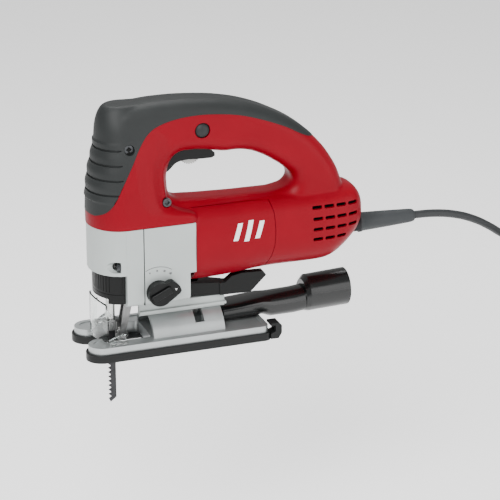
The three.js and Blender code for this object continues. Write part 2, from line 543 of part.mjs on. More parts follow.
// ---- shoe ---------------------------------------------------------------------
const TOE_R = 14;
function shoeOutline(inset, slotHalf, slotRear) {
  const e = SHOE_X - inset;
  const h = SHOE_HALF - inset;
  const toeR = TOE_R - inset;
  const yc = SHOE_HALF - TOE_R;
  const r = 6;
  const toe = sector(toeR, 180, 90, 8, -SHOE_X + TOE_R, yc);
  const innerX = -SHOE_X + TOE_R - Math.sqrt(Math.max(0, toeR ** 2 - (yc - slotHalf) ** 2));
  const inner = toe.filter((p) => p.y > slotHalf + 0.2);
  const lead = sector(toeR, 180 + THREE.MathUtils.radToDeg(Math.asin((yc - slotHalf) / toeR)), 180, 5, -SHOE_X + TOE_R, yc);
  const top = [V(slotRear, slotHalf), ...lead.slice(0, -1), ...inner, ...sector(r, 90, 0, 4, e - r, h - r)];
  if (innerX > slotRear) return null;
  const mirrored = top.slice().reverse().map((p) => V(p.x, -p.y));
  return [...top, ...mirrored];
}
const plateOutline = shoeOutline(2, 11, -40);
const tiltRing = (r, a0, a1, n) => sector(r, a0, a1, n, 0, TILT_Z);
let plate = prism('z', plateOutline, 2, RIM_TOP);
const floorCut = prism('z', shoeOutline(6, 14.5, -38), PLATE_TOP, 20);
const archOuter = prism('x', [...tiltRing(ARCH_R, 0, 180, 26)], ...ARCH_X);
const archInner = prism('x', [...tiltRing(ARCH_IN, 0, 180, 24)], ARCH_X[0] - 1, ARCH_X[1] + 1);
plate = join(cut(plate, floorCut), cut(archOuter, box(-90, 90, -FULL, FULL, 0, 4)));
plate = cut(plate, common(archInner, box(-90, 90, -FULL, FULL, PLATE_TOP - 1.5, 60)));
plate = cut(plate, prism('z', rounded(-66, -19.5, ARCH_X[0] - 1.2, 19.5, 3), 0, 20));
plate = cut(plate, prism('z', rounded(-10, -15, 36, 15, 4), 3.6, 14));
plate = cut(plate, common(box(CLAMP_X - 4.2, CLAMP_X + 4.2, -FULL, FULL, 10, 60), prism('x', [V(0, TILT_Z), ...tiltRing(40, 35.5, 144.5, 16)], 0, 30)));
plate = cut(plate, box(-2, 12, -FULL, -15, 27.4, 30.2));
add('shoe_plate', plate, 0xc4c9c7, 0.55, 0.42);

const rimOuter = shoeOutline(0, SLOT_HALF, -26);
let sole = prism('z', rimOuter, 0, COVER_TOP);
sole = cut(sole, prism('z', shoeOutline(1.7, 10.7, -39.7), 1.7, 20), prism('z', rounded(-66.3, -19.8, -25, 19.8, 3), 1.7, 20));
for (const side of [-1, 1]) {
  const y0 = side * 25;
  const y1 = side * SHOE_HALF;
  const hook = prism('y', [V(80.6, 1), V(88, 1), V(91, 6), V(91, 13), V(88.4, 16), V(80.4, 16), V(80.4, 13.7), V(85, 13.7), V(85, 8), V(80.6, 6)],
    Math.min(y0, y1), Math.max(y0, y1));
  sole = join(sole, hook);
}
add('sole_cover', sole, 0x1d2021, 0, 0.55);

const guardOuter = (t) => {
  const w = 27.6 - t;
  const f = -73.6 + t;
  const arc = Array.from({ length: 10 }, (_, i) => {
    const a = (Math.PI / 2) * (i / 9);
    return V(f + 25 * (1 - Math.cos(a)), w * Math.sin(a));
  });
  return [...arc, V(-40, w), V(-40, -w), ...arc.slice(1).reverse().map((p) => V(p.x, -p.y))];
};
let guard = cut(prism('z', guardOuter(0), 13.6, 60), prism('z', guardOuter(1.6), 10, 70));
guard = common(guard, prism('x', circle(46.4, 56, 0, TILT_Z), -90, -50));
guard = cut(guard, prism('y', [V(-64.6, 80), V(-64.6, 43), V(-50, 24), V(-30, 24), V(-30, 80)], -FULL, FULL));
guard = join(guard, cut(box(-64, -50, -31, -24.4, 13.6, 15.2)), box(-64, -50, 24.4, 31, 13.6, 15.2));
// Room for the clamp and the rod when the shoe is tilted either way.
for (const a of [-45, 45]) {
  guard = cut(guard, box(-63.8, -45, -7.8, 7.8, 10, 70).rotate([a, 0, 0]).translate([0, 0, TILT_Z]));
}
add('chip_guard', guard, 0xdfe8ea, 0, 0.1, { transparent: true, opacity: 0.35 });

// Dust tube: flattened oval under the support, growing to a round spigot.
const tubeRing = (x, cz, hw, hh, e = 2) => {
  const pts = [];
  for (let i = 0; i < 24; i += 1) {
    const a = (2 * Math.PI * i) / 24;
    const c = Math.cos(a);
    const s = Math.sin(a);
    pts.push(P3(x, hw * Math.sign(c) * Math.abs(c) ** (2 / e), cz + hh * Math.sign(s) * Math.abs(s) ** (2 / e)));
  }
  return pts;
};
const tubeSections = (t) => [
  tubeRing(44, 20.9, 15.5 - t, 7 - t, 3), tubeRing(60, 21.4, 15.5 - t, 7.5 - t, 3), tubeRing(81.5, 22.5, 15 - t, 8.6 - t, 2.8),
  tubeRing(90, 21.4, 14.6 - t, 10.4 - t, 2.5), tubeRing(112, 22.6, 13.6 - t, 11.4 - t, 2.2), tubeRing(126, 23.6, 13.4 - t, 12 - t, 2),
];
let tube = join(loft(tubeSections(0)), loft([tubeRing(123.4, 25.6, 14.4, 14.2), tubeRing(127, 27, 16.8, 16.8), tubeRing(165, 27.3, 17, 17)]));
const stretched = tubeSections(1.8);
stretched.unshift(tubeRing(40, 20.9, 13.7, 5.2, 3));
stretched.push(tubeRing(130, 24.4, 11.6, 10.2));
tube = cut(tube, loft(stretched), loft([tubeRing(129.5, 27.3, 14.6, 14.6), tubeRing(170, 27.3, 15.3, 15.3)]));
add('dust_tube', tube, 0x1f2223, 0, 0.5);

// Tilt support under the gear case, with the bevel clamp.
let support = join(box(-33.2, 7.6, -12, 12, 24, CASE_BOTTOM - GAP), box(-33.2, 45.4, -12, 12, 24, 40), box(-33.2, 46.6, -14, 14, 31.6, 33.8));
support = cut(support, prism('x', circle(ARCH_R + 0.4, 64, 0, TILT_Z), -60, 60), bar('z', CLAMP_X, 0, 3.3, 20, 60, 20),
  box(-60, -24, -8, 8, 20, 50));
add('tilt_support', support, 0xb4b8b7, 0.5, 0.45);
add('clamp_nut', cut(bar('z', CLAMP_X, 0, 5, 22.2, 27, 6), bar('z', CLAMP_X, 0, 3.05, 20, 30, 20)), 0x8b8f92, 0.85, 0.35);
add('clamp_screw', join(bar('z', CLAMP_X, 0, 3, 21, 44, 20), bar('z', CLAMP_X, 0, 5.6, 43.6, 49, 6)), 0x8b8f92, 0.85, 0.35);
const leverSide = [
  V(9.4, 41), V(46, 41), V(68.6, 40.4), V(83.4, 54.6), V(80.6, 58.6), V(60, 59.4), V(51, 57.6), V(44.6, 52.4), V(9.4, 53),
];
let bevel = join(
  common(prism('y', leverSide, -16.4, -9.2), box(40, 90, -30, 30, 30, 70)),
  prism('z', [...sector(10, 90, 270, 10, CLAMP_X, 0), V(46, -16.4), V(62, -16.4), V(62, -9.4), V(46, -6), V(28, 6)], 41, 52.6),
);
bevel = cut(bevel, bar('z', CLAMP_X, 0, 3.1, 40, 44, 20), bar('z', CLAMP_X, 0, 5.9, 43.3, 60, 6));
add('bevel_lever', bevel, 0x232627, 0, 0.5);

// ---- cord ----------------------------------------------------------------------
const glandRings = [];
for (const [x, r] of [[158, 8.2], [176.6, 8.2], [176.8, 9.2], [179, 9.2], [196, 7.8], [214, 6.6], [230, 5.6], [231.5, 4.4]]) {
  glandRings.push(circle(r, 24).map((p) => P3(x, p.x, GLAND_Z + p.y)));
}
let gland = cut(loft(glandRings), bar('x', 0, GLAND_Z, CORD_R + 0.25, 150, 240, 16));
for (let i = 0; i < 5; i += 1) {
  gland = cut(gland, box(184 + i * 9, 187.6 + i * 9, -12, -CORD_R - 1.2, GLAND_Z - 4, GLAND_Z + 4),
    box(184 + i * 9, 187.6 + i * 9, CORD_R + 1.2, 12, GLAND_Z - 4, GLAND_Z + 4));
}
add('cord_gland', gland, 0x222526, 0, 0.7);
const cordPath = new THREE.CatmullRomCurve3([
  P3(162, 0, GLAND_Z), P3(190, 0, GLAND_Z), P3(231, 0, GLAND_Z), P3(252, 0.4, 86), P3(274, 2.2, 81.6), P3(295, 6.5, 73.2),
  P3(314, 12.4, 62), P3(331, 19, 50), P3(347, 25.6, 39.4), P3(362, 31, 31.8), P3(376, 34.4, 28.2), P3(388, 35.8, 26.2),
  P3(397, 35.9, 24), P3(404, 35.5, 22), P3(416.1, 33.4, 20.7),
], false, 'centripetal');
const cordShape = new THREE.Shape(circle(CORD_R, 8));
const cordGeo = new THREE.ExtrudeGeometry(cordShape, { steps: 44, extrudePath: cordPath, bevelEnabled: false });
add('cord', solid(cordGeo), 0x2a2d2e, 0, 0.7);
// Coil of nine turns, drawn as one closed ring; the last turn leaves it for the plug beside it.
const COIL_X = 404;
const coilProfile = smooth([[53.9, 12], [49.4, 2.6], [42.9, 0.2], [36.4, 2.6], [31.9, 12], [36.4, 21], [42.9, 23.4], [49.4, 21]], 12);
const coilGeo = new THREE.LatheGeometry([...coilProfile, coilProfile[0].clone()], 28);
const alongPath = (path, r, n, steps) => solid(new THREE.ExtrudeGeometry(new THREE.Shape(circle(r, n)),
  { steps, extrudePath: path, bevelEnabled: false }));
const PLUG_REAR = 356;
const PLUG_Y = -50.3;
const PLUG_Z = 7.4;
const lastPath = new THREE.CatmullRomCurve3([
  P3(412, PLUG_Y + 1.2, 4.6), P3(400, PLUG_Y, 3.9), P3(389, PLUG_Y, 3.9), P3(380, PLUG_Y, 4.5), P3(371, PLUG_Y, 6.2),
  P3(363, PLUG_Y, 7.3), P3(PLUG_REAR + GAP, PLUG_Y, PLUG_Z),
], false, 'centripetal');
let coil = solid(coilGeo).rotate([90, 0, 0]).translate([COIL_X, 0, 0]);
coil = cut(join(coil, alongPath(lastPath, CORD_R, 8, 12)), alongPath(cordPath, CORD_R + 0.4, 10, 44));
add('cord_coil', coil, 0x2a2d2e, 0, 0.7);
const plugBody = join(
  prism('z', rounded(322, PLUG_Y - 11, 348, PLUG_Y + 11, 5), 0.4, 14.4),
  prism('z', rounded(343, PLUG_Y - 6, PLUG_REAR, PLUG_Y + 6, 3), 1.4, 13.4),
  bar('x', PLUG_Y - 6, PLUG_Z, 2, 306, 323, 12), bar('x', PLUG_Y + 6, PLUG_Z, 2, 306, 323, 12),
);
add('cord_plug', plugBody, 0x232627, 0, 0.6);

export default model;
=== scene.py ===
import json
import math

import bmesh
import bpy
from mathutils import Matrix, Vector
from mathutils.bvhtree import BVHTree

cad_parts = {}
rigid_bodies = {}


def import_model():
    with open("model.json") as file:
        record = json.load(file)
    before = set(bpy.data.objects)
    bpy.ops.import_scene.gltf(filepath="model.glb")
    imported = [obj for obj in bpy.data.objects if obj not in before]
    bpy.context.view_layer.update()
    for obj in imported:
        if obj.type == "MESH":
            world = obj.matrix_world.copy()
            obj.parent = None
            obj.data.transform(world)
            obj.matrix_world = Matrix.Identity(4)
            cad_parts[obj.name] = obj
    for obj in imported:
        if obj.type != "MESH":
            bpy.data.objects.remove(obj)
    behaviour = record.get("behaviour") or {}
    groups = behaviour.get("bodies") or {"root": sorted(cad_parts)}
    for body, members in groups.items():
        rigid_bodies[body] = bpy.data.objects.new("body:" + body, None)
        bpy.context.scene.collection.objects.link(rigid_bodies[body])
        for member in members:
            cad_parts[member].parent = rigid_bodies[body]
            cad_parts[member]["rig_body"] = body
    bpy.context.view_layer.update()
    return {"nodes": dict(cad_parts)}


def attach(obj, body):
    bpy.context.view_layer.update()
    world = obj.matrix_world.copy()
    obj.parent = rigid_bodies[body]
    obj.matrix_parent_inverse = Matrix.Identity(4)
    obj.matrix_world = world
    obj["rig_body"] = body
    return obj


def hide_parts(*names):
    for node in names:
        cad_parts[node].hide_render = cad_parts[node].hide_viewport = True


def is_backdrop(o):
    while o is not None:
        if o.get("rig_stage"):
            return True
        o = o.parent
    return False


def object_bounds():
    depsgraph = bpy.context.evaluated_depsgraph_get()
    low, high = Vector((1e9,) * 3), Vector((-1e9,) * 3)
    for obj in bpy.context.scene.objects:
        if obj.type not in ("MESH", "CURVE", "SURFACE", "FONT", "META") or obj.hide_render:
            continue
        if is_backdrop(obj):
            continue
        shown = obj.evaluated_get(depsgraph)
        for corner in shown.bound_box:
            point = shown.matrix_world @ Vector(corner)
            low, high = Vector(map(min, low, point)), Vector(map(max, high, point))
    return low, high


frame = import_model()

MM = 0.001

# ---------------------------------------------------------------------------
# The camera: a long lens at the left front of the saw, a little above it.
# ---------------------------------------------------------------------------
camera_data = bpy.data.cameras.new("camera")
camera_data.lens = 158.4
camera_data.sensor_width = 36.0
camera_data.clip_start = 0.05
camera_data.clip_end = 40.0
camera = bpy.data.objects.new("camera", camera_data)
bpy.context.scene.collection.objects.link(camera)
bpy.context.scene.camera = camera
turned, raised = math.radians(-20.0), math.radians(20.8)
AIM, DISTANCE = Vector((0.07403, 0.0, 0.0733)), 1.95
back = Vector((
    math.sin(turned) * math.cos(raised), -math.cos(turned) * math.cos(raised), math.sin(raised)))
camera.location = AIM + back * DISTANCE
camera.rotation_mode = "QUATERNION"
camera.rotation_quaternion = (-back).to_track_quat("-Z", "Y")

# ---------------------------------------------------------------------------
# The free cord: round rubber-sheathed mains lead, 7.2 mm thick. It leaves the
# strain relief, sinks to the level of the sole and goes into a coil of nine
# turns, three wide and three high, and its end leaves the coil for the plug.
# ---------------------------------------------------------------------------
CORD = 7.2 * MM
cord_run = [
    (215, 0, 87), (231, 0, 87), (252, 0.4, 86), (274, 2.2, 81.6), (295, 6.5, 73.2), (314, 12.4, 62),
    (331, 19, 50), (347, 25.6, 39.4), (362, 31, 31.8), (376, 34.4, 28.2), (388, 35.8, 26.2),
    (397, 35.9, 24),
]
coil_x = 404.0
# Each turn's radius and height, the angle at which the lead steps over to the next turn,
# and how far its first points lie above the first turn.
turns = [(35.5, 19.8), (42.9, 19.8), (50.3, 19.8), (50.3, 11.8), (42.9, 11.8), (35.5, 11.8),
         (35.5, 3.8), (42.9, 3.8), (50.3, 3.8), (50.3, 3.8)]
step_over = [305, 305, 283, 261, 261, 239, 217, 217, 217]
landing = {0: 2.2, 20: 0.9, 40: 0.2}
POINT_EVERY, COIL_END = 20, 8 * 360 + 180
cord_line = list(cord_run)
for gone in range(0, COIL_END + 1, POINT_EVERY):
    turn, within = divmod(gone, 360)
    over = min(1.0, max(0.0, (within - step_over[turn]) / 70 + 0.5))
    over = over * over * (3 - 2 * over)
    (r0, z0), (r1, z1) = turns[turn], turns[turn + 1]
    around = math.radians(90 - gone)
    r = r0 + (r1 - r0) * over
    cord_line.append((coil_x + r * math.cos(around), r * math.sin(around),
                      z0 + (z1 - z0) * over + landing.get(gone, 0)))
cord_line += [(389, -50.3, 3.8), (380, -50.3, 4.5), (371, -50.3, 6.2), (363, -50.3, 7.3), (356, -50.3, 7.4)]

cord_curve = bpy.data.curves.new("mains_cord", "CURVE")
cord_curve.dimensions = "3D"
cord_curve.bevel_depth = CORD / 2
cord_curve.bevel_resolution = 5
cord_curve.resolution_u = 4
cord_curve.use_fill_caps = True
spline = cord_curve.splines.new("BEZIER")
spline.bezier_points.add(len(cord_line) - 1)
for point, place in zip(spline.bezier_points, cord_line):
    point.co = Vector(place) * MM
    point.handle_left_type = point.handle_right_type = "AUTO"
mains_cord = bpy.data.objects.new("mains_cord", cord_curve)
bpy.context.scene.collection.objects.link(mains_cord)


def finish_of(name, colour, roughness, metal=0.0, grain=0.0, grain_size=0.5, mottle=0.06,
              gloss_break=0.1, blotch=18.0, scratches=0.0, specular=0.5):
    """A finish with its own colour drift, gloss drift and surface grain; sizes are in millimetres."""
    material = bpy.data.materials.new(name)
    material.use_nodes = True
    nodes, links = material.node_tree.nodes, material.node_tree.links
    shader = nodes["Principled BSDF"]
    shader.inputs["Metallic"].default_value = metal
    shader.inputs["Specular IOR Level"].default_value = specular
    where = nodes.new("ShaderNodeTexCoord")
    broad = nodes.new("ShaderNodeTexNoise")
    broad.inputs["Scale"].default_value = 1000.0 / blotch
    broad.inputs["Detail"].default_value = 5.0
    links.new(where.outputs["Object"], broad.inputs["Vector"])
    drift = nodes.new("ShaderNodeValToRGB")
    drift.color_ramp.elements[0].position, drift.color_ramp.elements[1].position = 0.3, 0.7
    drift.color_ramp.elements[0].color = [c * (1 - mottle) for c in colour] + [1]
    drift.color_ramp.elements[1].color = [min(1, c * (1 + mottle)) for c in colour] + [1]
    links.new(broad.outputs["Fac"], drift.inputs["Fac"])
    links.new(drift.outputs["Color"], shader.inputs["Base Color"])
    fine = nodes.new("ShaderNodeTexNoise")
    fine.inputs["Scale"].default_value = 1000.0 / grain_size
    fine.inputs["Detail"].default_value = 3.0
    links.new(where.outputs["Object"], fine.inputs["Vector"])
    dull = nodes.new("ShaderNodeMapRange")
    dull.inputs["To Min"].default_value = roughness * (1 - gloss_break)
    dull.inputs["To Max"].default_value = min(1.0, roughness * (1 + gloss_break))
    links.new(broad.outputs["Fac"], dull.inputs["Value"])
    links.new(dull.outputs["Result"], shader.inputs["Roughness"])
    if grain:
        bump = nodes.new("ShaderNodeBump")
        bump.inputs["Strength"].default_value = grain
        bump.inputs["Distance"].default_value = 0.0001
        if scratches:
            stretch = nodes.new("ShaderNodeMapping")
            stretch.inputs["Scale"].default_value = (scratches, 1.0, 1.0)
            links.new(where.outputs["Object"], stretch.inputs["Vector"])
            links.new(stretch.outputs["Vector"], fine.inputs["Vector"])
        links.new(fine.outputs["Fac"], bump.inputs["Height"])
        links.new(bump.outputs["Normal"], shader.inputs["Normal"])
    return material


cord_curve.materials.append(finish_of(
    "cord_rubber", (0.018, 0.0195, 0.021), 0.5, grain=0.25, grain_size=0.4, specular=0.35))


# ---------------------------------------------------------------------------
# Strain relief: a smooth tapered rubber sleeve with a collar at the shells. The
# plug is a moulded block with two pins, and a strap holds the coil together.
# ---------------------------------------------------------------------------
def merged(node):
    """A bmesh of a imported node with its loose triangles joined."""
    bm = bmesh.new()
    bm.from_mesh(frame["nodes"][node].data)
    bmesh.ops.remove_doubles(bm, verts=bm.verts, dist=2e-6)
    bmesh.ops.dissolve_limit(bm, angle_limit=math.radians(0.6), verts=bm.verts, edges=bm.edges)
    return bm


def piece_from(name, bm, material, body, nodes=()):
    """Turns a bmesh into a named piece that rides on a body and stands for the given nodes."""
    mesh = bpy.data.meshes.new(name)
    bm.to_mesh(mesh)
    bm.free()
    for polygon in mesh.polygons:
        polygon.use_smooth = True
    piece = bpy.data.objects.new(name, mesh)
    bpy.context.scene.collection.objects.link(piece)
    for one in material if isinstance(material, (list, tuple)) else [material]:
        mesh.materials.append(one)
    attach(piece, body)
    if nodes:
        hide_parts(*nodes)
    return piece


def softened(piece, width, segments=2, angle=28):
    """Moulded or machined edge: a small bevel, with the flat faces kept flat."""
    edge = piece.modifiers.new("edge", "BEVEL")
    edge.width, edge.segments, edge.limit_method = width * MM, segments, "ANGLE"
    edge.angle_limit = math.radians(angle)
    edge.harden_normals = False
    edge.use_clamp_overlap = True
    flat = piece.modifiers.new("flat", "WEIGHTED_NORMAL")
    flat.keep_sharp = True
    return piece


def settled(piece):
    """Applies the piece's modifiers, so that later cuts meet the final surface."""
    bpy.context.view_layer.update()
    evaluated = piece.evaluated_get(bpy.context.evaluated_depsgraph_get())
    mesh = bpy.data.meshes.new_from_object(evaluated)
    materials = list(piece.data.materials)
    piece.modifiers.clear()
    piece.data = mesh
    if not mesh.materials:
        for one in materials:
            mesh.materials.append(one)
    return piece


LEAD_Z = 87
bm = bmesh.new()
profile = [(158, 3.85), (158, 8.2), (176.7, 8.2), (176.8, 9.2), (179.2, 9.2), (179.6, 8.6), (204, 7.5),
           (226, 6.3), (229.6, 5.9), (231.2, 5.2), (231.5, 4.4), (231.4, 3.85)]
ring = [bm.verts.new((x * MM, 0, r * MM)) for x, r in profile]
for a, b in zip(ring, ring[1:] + ring[:1]):
    bm.edges.new((a, b))
bmesh.ops.spin(bm, geom=bm.verts[:] + bm.edges[:], cent=(0, 0, 0), axis=(1, 0, 0),
               angle=2 * math.pi, steps=48, use_merge=True, use_duplicate=False)
bmesh.ops.remove_doubles(bm, verts=bm.verts, dist=1e-6)
bmesh.ops.translate(bm, verts=bm.verts, vec=(0, 0, LEAD_Z * MM))
bmesh.ops.recalc_face_normals(bm, faces=bm.faces)
sleeve_rubber = finish_of("sleeve_rubber", (0.024, 0.027, 0.029), 0.58, grain=0.3, grain_size=0.5,
                          specular=0.35)
sleeve = piece_from("strain_relief", bm, sleeve_rubber, "housing_body", ["cord_gland"])


def taken_out(piece, cutters):
    """Cuts a set of closed tool shapes out of a piece."""
    tool_mesh = bpy.data.meshes.new("tool")
    cutters.to_mesh(tool_mesh)
    cutters.free()
    tool = bpy.data.objects.new("tool", tool_mesh)
    bpy.context.scene.collection.objects.link(tool)
    cut = piece.modifiers.new("cut", "BOOLEAN")
    cut.operation, cut.object, cut.solver = "DIFFERENCE", tool, "EXACT"
    settled(piece)
    bpy.data.objects.remove(tool)
    for polygon in piece.data.polygons:
        polygon.use_smooth = True
    return piece


def block(bm, low, high):
    """Adds a box between two corners, in millimetres."""
    low, high = Vector(low) * MM, Vector(high) * MM
    made = bmesh.ops.create_cube(bm, size=1.0)["verts"]
    bmesh.ops.scale(bm, vec=high - low, verts=made)
    bmesh.ops.translate(bm, vec=(low + high) / 2, verts=made)
    return made


def drum(bm, centre, radius, low, high, axis="y", sides=32):
    """Adds a round bar along an axis, in millimetres."""
    made = bmesh.ops.create_cone(bm, cap_ends=True, segments=sides, radius1=radius * MM,
                                 radius2=radius * MM, depth=(high - low) * MM)["verts"]
    turn = {"x": Matrix.Rotation(math.radians(90), 4, "Y"),
            "y": Matrix.Rotation(math.radians(-90), 4, "X"), "z": Matrix.Identity(4)}[axis]
    bmesh.ops.transform(bm, matrix=turn, verts=made)
    middle = (low + high) / 2
    place = {"x": (middle, centre[0], centre[1]), "y": (centre[0], middle, centre[1]),
             "z": (centre[0], centre[1], middle)}[axis]
    bmesh.ops.translate(bm, vec=Vector(place) * MM, verts=made)
    return made


plug_moulding = finish_of("plug_moulding", (0.018, 0.0195, 0.021), 0.45, grain=0.35, grain_size=0.6)
plug = softened(piece_from("mains_plug", merged("cord_plug"), plug_moulding, "housing_body",
                           ["cord_plug"]), 1.2, 3)
plug.data.materials.append(finish_of("nickel_pins", (0.60, 0.58, 0.52), 0.25, metal=1.0, grain=0.1,
                                     grain_size=0.2, blotch=5))
PINS_END = 321.9
for polygon in plug.data.polygons:
    if polygon.center.x < PINS_END * MM:
        polygon.material_index = 1

bm = bmesh.new()
block(bm, (434.9, -5, 0.02), (458.8, 5, 24.1))
strap_fabric = finish_of("strap_fabric", (0.03, 0.03, 0.032), 0.8, grain=0.8, grain_size=0.7)
strap = piece_from("coil_strap", bm, strap_fabric, "housing_body", ())
hole = bmesh.new()
block(hole, (435.5, -9, 0.12), (458.2, 9, 23.5))
taken_out(strap, hole)
softened(strap, 0.2, 2)

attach(mains_cord, "housing_body")
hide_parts("cord", "cord_coil")

# ---------------------------------------------------------------------------
# The plastic body's outer form: a nose, a motor barrel and a D-shaped handle
# run together, as one mould would blend them. It is drawn once as a skin and
# once 2.5 mm inside, and the shells and grips below are cut from the two.
# ---------------------------------------------------------------------------
def eased(rows, steps):
    """Rows of numbers with smooth in-between rows."""
    out = []
    for i in range(len(rows) - 1):
        p0, p1, p2, p3 = rows[max(i - 1, 0)], rows[i], rows[i + 1], rows[min(i + 2, len(rows) - 1)]
        for k in range(steps):
            t = k / steps
            out.append([0.5 * (2 * b + (c - a) * t + (2 * a - 5 * b + 4 * c - d) * t * t
                               + (3 * b - a - 3 * c + d) * t ** 3)
                        for a, b, c, d in zip(p0, p1, p2, p3)])
    return out + [list(rows[-1])]


def skinned(bm, rings):
    """Joins rings of points into one closed skin."""
    before = None
    for ring in rings:
        verts = [bm.verts.new(Vector(p) * MM) for p in ring]
        edges = [bm.edges.new((a, b)) for a, b in zip(verts, verts[1:] + verts[:1])]
        if before is None:
            bm.faces.new(verts)
        else:
            bmesh.ops.bridge_loops(bm, edges=before + edges)
        before, last = edges, verts
    bm.faces.new(last)


def nose_ring(z, front, half, start, rear, rear_half):
    """A level outline of the nose: round in front, then tapering to a back with broken corners."""
    depth = min(27, (start - front) * 0.9)
    side = [(front + depth * (1 - math.cos(a)), half * math.sin(a))
            for a in [math.pi / 2 * i / 14 for i in range(15)]]
    corner = min(6, rear_half * 0.5)
    side += [(start, half), ((start + rear) / 2, half + (rear_half - half) * 0.42),
             (rear - corner, rear_half), (rear - corner * 0.3, rear_half - corner * 0.3),
             (rear, rear_half - corner)]
    return [(x, y, z) for x, y in side] + [(x, -y, z) for x, y in side[:0:-1]]


def barrel_ring(x, middle, half, down, up):
    """An upright outline of the barrel, squarer above its middle than below."""
    ring, sides = [], 56
    for i in range(sides):
        a = 2 * math.pi * i / sides
        c, s = math.cos(a), math.sin(a)
        squareness, reach = (2.9, up) if s > 0 else (2.15, down)
        ring.append((x, half * math.copysign(abs(c) ** (2 / squareness), c),
                     middle + reach * math.copysign(abs(s) ** (2 / squareness), s)))
    return ring


# The nose, in rows: height, front, half width, start of the taper, back, half width there.
nose = [
    (104, -75, 31, -20, 16, 31), (117, -75.1, 31, -20, 16, 31), (124, -75.2, 31, -20, 15, 30),
    (132, -75, 30.6, -30, -5, 24), (150, -74, 30, -36, -9, 21.5), (168, -71.3, 29, -38, -8, 20),
    (180, -68.4, 27.3, -40, 0, 19), (192, -66.4, 24.4, -40, 5, 18), (204, -65.4, 21, -42, 0, 16),
    (213, -63.4, 17, -42, -8, 12), (219.2, -60, 13.5, -42, -14, 9),
    (221.4, -56.6, 11, -42, -18, 8),
]
# The barrel, in rows: place along it, height of the middle, half width, reach down and up.
barrel = [
    (2, 91, 30.4, 30, 36), (8, 91, 30.8, 31, 37), (12, 91, 32.2, 34.6, 38.3),
    (45, 91, 32.6, 34.3, 38.3), (82, 91, 32.2, 31, 38.2), (122, 91, 31.6, 31.2, 38),
    (138, 92, 31, 31.6, 37.4), (147, 94.5, 30, 31.2, 35.4), (155, 98.4, 28.6, 29.6, 31.4),
    (162, 101.8, 26.6, 26.6, 27.4), (167.6, 103.6, 23.6, 22.4, 23.6),
    (172.2, 104.4, 18.6, 16.6, 17.6), (174.4, 104.8, 13.5, 11, 12),
]
# The D handle and its hand opening, seen from the side.
d_outline = [
    (-52, 112), (-60, 140), (-62, 175), (-60, 203), (-50, 217), (-30, 221.3), (-8, 222.6),
    (22, 221.4), (49, 217.7), (71, 211.8), (95, 201.4), (116, 188.6), (134, 172), (146, 156),
    (154, 140), (157.5, 124), (152, 106), (134, 97), (100, 95), (50, 95), (0, 96), (-34, 99),
]
hand_hole = [
    (-5.4, 150), (-5, 160), (-1.6, 169.6), (4.6, 174.8), (16, 176), (30, 174.8), (40, 172.6),
    (48, 171.5), (56, 171.7), (67, 170.3), (80, 165.4), (92.4, 158), (103, 150), (109.4, 142),
    (107.6, 135), (98, 131), (70, 130.2), (40, 130.9), (14, 132.2), (3, 133.6), (-3.2, 139),
]


def rounded_plate(loops, half, soft, steps=6):
    """A thick plate with round rims as a mesh; the loops are closed outlines in x and z."""
    curve = bpy.data.curves.new("outline", "CURVE")
    curve.dimensions, curve.fill_mode = "2D", "BOTH"
    curve.extrude, curve.bevel_depth, curve.offset = (half - soft) * MM, soft * MM, -soft * MM
    curve.bevel_resolution, curve.resolution_u = steps, 6
    for loop in loops:
        spline = curve.splines.new("BEZIER")
        spline.bezier_points.add(len(loop) - 1)
        spline.use_cyclic_u = True
        for point, (x, z) in zip(spline.bezier_points, loop):
            point.co = (x * MM, z * MM, 0)
            point.handle_left_type = point.handle_right_type = "AUTO"
    shape = bpy.data.objects.new("outline", curve)
    bpy.context.scene.collection.objects.link(shape)
    bpy.context.view_layer.update()
    mesh = bpy.data.meshes.new_from_object(shape.evaluated_get(bpy.context.evaluated_depsgraph_get()))
    bpy.data.objects.remove(shape)
    mesh.transform(Matrix.Rotation(math.radians(90), 4, "X"))
    return mesh


bm = bmesh.new()
skinned(bm, [nose_ring(*row) for row in eased(nose, 4)])
skinned(bm, [barrel_ring(*row) for row in eased(barrel, 4)])
bm.from_mesh(rounded_plate([d_outline, hand_hole], 19.5, 13))
bmesh.ops.remove_doubles(bm, verts=bm.verts, dist=1e-6)
bmesh.ops.recalc_face_normals(bm, faces=bm.faces)


def bare(name, bm):
    """A shape that is no piece by itself yet, such as a tool to cut with."""
    mesh = bpy.data.meshes.new(name)
    bm.to_mesh(mesh)
    bm.free()
    shape = bpy.data.objects.new(name, mesh)
    bpy.context.scene.collection.objects.link(shape)
    return shape


def copy_of(shape, name):
    """A second shape with a mesh of its own."""
    again = bpy.data.objects.new(name, shape.data.copy())
    bpy.context.scene.collection.objects.link(again)
    return again


def evened(shape, voxel):
    """Adds a step that rebuilds a skin as an even mesh; its cells are in millimetres."""
    even = shape.modifiers.new("even", "REMESH")
    even.mode, even.voxel_size = "VOXEL", voxel * MM
    return shape


def pushed(shape, distance):
    """Adds a step that moves a skin outward in millimetres, or inward where negative."""
    push = shape.modifiers.new("push", "DISPLACE")
    push.strength, push.mid_level = distance * MM, 0.0
    return shape


WALL = 2.5
body_skin = evened(bare("body_skin", bm), 1.15)
relax = body_skin.modifiers.new("relax", "SMOOTH")
relax.factor, relax.iterations = 0.5, 9
settled(body_skin)
body_inside = settled(evened(pushed(copy_of(body_skin, "body_inside"), -WALL), 1.8))


def side_prism(bm, outline, low=-60, high=60):
    """Adds a bar whose outline is given in x and z, in millimetres."""
    verts = [bm.verts.new((x * MM, low * MM, z * MM)) for x, z in outline]
    face = bm.faces.new(verts)
    grown = bmesh.ops.extrude_face_region(bm, geom=[face])
    far = [g for g in grown["geom"] if isinstance(g, bmesh.types.BMVert)]
    bmesh.ops.translate(bm, vec=(0, (high - low) * MM, 0), verts=far)
    bmesh.ops.recalc_face_normals(bm, faces=bm.faces)


